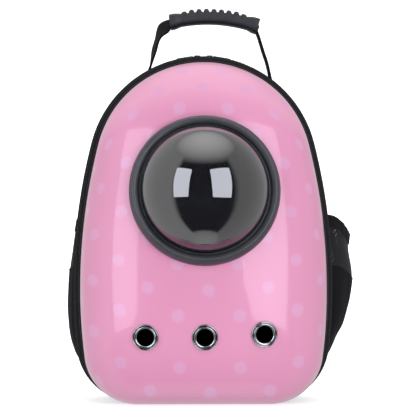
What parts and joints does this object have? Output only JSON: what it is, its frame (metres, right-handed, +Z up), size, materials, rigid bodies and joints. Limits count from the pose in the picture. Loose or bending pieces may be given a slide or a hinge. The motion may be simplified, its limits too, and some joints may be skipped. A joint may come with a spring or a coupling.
{
  "type": "bubble pet carrier backpack",
  "caption": "Pet carrier backpack: glossy hard shell front with a smoked dome window and vent eyelets, zipped fabric body, side pockets, padded shoulder straps and a ribbed carrying handle.",
  "frame": {"origin": "centre of the fabric body's flat base, where the carrier stands", "axes": "+Z up, +X to the right as seen from the front, the dome window faces -Y"},
  "size_m": [0.3489, 0.3068, 0.4784],
  "materials": {
    "shell_pink": "high gloss with pale lilac polka dots under a clear coat",
    "dome_smoke": "smoked clear plastic, polished",
    "ring_black": "satin moulded black",
    "eyelet_chrome": "bright plated rims",
    "body_cloth": "black woven polyester",
    "pad_cloth": "padded black cloth with stitched channels",
    "webbing_black": "ribbed woven webbing",
    "net_black": "open knitted net",
    "grip_rubber": "matt moulded rubber with ribs",
    "zip_black": "moulded zip teeth, sliders and adjusters",
    "piping_black": "dark edge piping"
  },
  "bodies": {
    "root": {"front_shell": "shell_pink", "window_ring": "ring_black", "bubble_dome": "dome_smoke", "vent_eyelet_1": "eyelet_chrome", "vent_eyelet_2": "eyelet_chrome", "vent_eyelet_3": "eyelet_chrome", "rim_piping": "piping_black", "front_gusset": "body_cloth", "zip_tape": "body_cloth", "zip_coil": "zip_black", "zip_slider_left": "zip_black", "zip_slider_right": "zip_black", "zip_pull_left": "zip_black", "zip_pull_right": "zip_black", "fabric_body": "body_cloth", "back_pad": "pad_cloth", "shoulder_strap_left": "pad_cloth", "shoulder_strap_right": "pad_cloth", "strap_adjuster_left": "zip_black", "strap_adjuster_right": "zip_black", "strap_webbing_left": "webbing_black", "strap_webbing_right": "webbing_black", "handle_webbing": "webbing_black", "handle_grip": "grip_rubber", "pocket_base_left": "body_cloth", "pocket_base_right": "body_cloth", "pocket_net_left": "net_black", "pocket_net_right": "net_black", "pocket_hem_left": "body_cloth", "pocket_hem_right": "body_cloth"}
  },
  "joints": []
}
